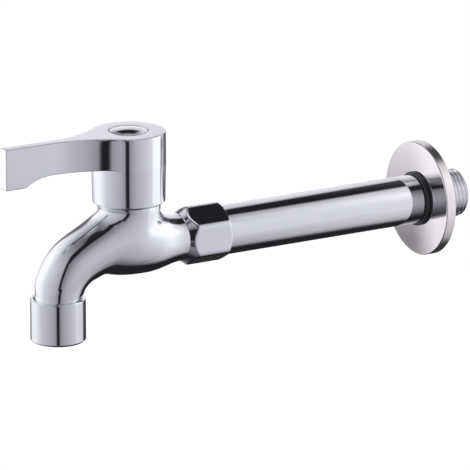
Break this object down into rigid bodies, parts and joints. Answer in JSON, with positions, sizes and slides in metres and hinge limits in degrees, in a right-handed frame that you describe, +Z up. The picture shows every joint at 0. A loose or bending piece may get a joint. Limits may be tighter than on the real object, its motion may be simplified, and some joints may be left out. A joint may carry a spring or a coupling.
{
  "type": "wall tap",
  "caption": "Long-reach wall tap: threaded tail, round wall plate, straight tube, cast body with bent spout and aerator, and a lever handle that turns a quarter turn.",
  "frame": {"origin": "on the tube's axis, in the plane of the wall plate's back face, which lies on the wall", "axes": "+Y into the wall along the threaded tail, +Z up, +X to the right of someone facing the wall"},
  "size_m": [0.0498, 0.2241, 0.0874],
  "materials": {
    "chrome_plate": "polished mirror chrome plating on brass",
    "plate_steel": "polished stainless steel, slightly softer than the plating",
    "black_rubber": "smooth matt black rubber",
    "white_plastic": "moulded acetal, satin",
    "mesh_steel": "fine stainless steel, satin",
    "bare_brass": "turned brass, unplated",
    "valve_ceramic": "lapped alumina ceramic, off white"
  },
  "bodies": {
    "tap": {"tap_body": "chrome_plate", "extension_pipe": "chrome_plate", "pipe_seal": "black_rubber", "escutcheon": "plate_steel", "shoulder_washer": "black_rubber", "nozzle_collar": "chrome_plate", "aerator_washer": "black_rubber", "aerator_housing": "white_plastic", "aerator_screens": "mesh_steel", "aerator_grid": "white_plastic", "valve_bonnet": "bare_brass", "bonnet_gasket": "black_rubber", "seat_seal": "black_rubber", "fixed_disc": "valve_ceramic"},
    "handle": {"turning_disc": "valve_ceramic", "thrust_washer": "white_plastic", "spindle": "bare_brass", "spindle_o_rings": "black_rubber", "spindle_clip": "mesh_steel", "lever_handle": "chrome_plate", "handle_screw": "mesh_steel", "index_button": "chrome_plate"}
  },
  "joints": [
    {"name": "handle_turn", "type": "hinge", "parent": "tap", "child": "handle", "pos_m": [0, -0.148, 0], "axis": [0, 0, 1], "range_deg": [0, 90]}
  ]
}
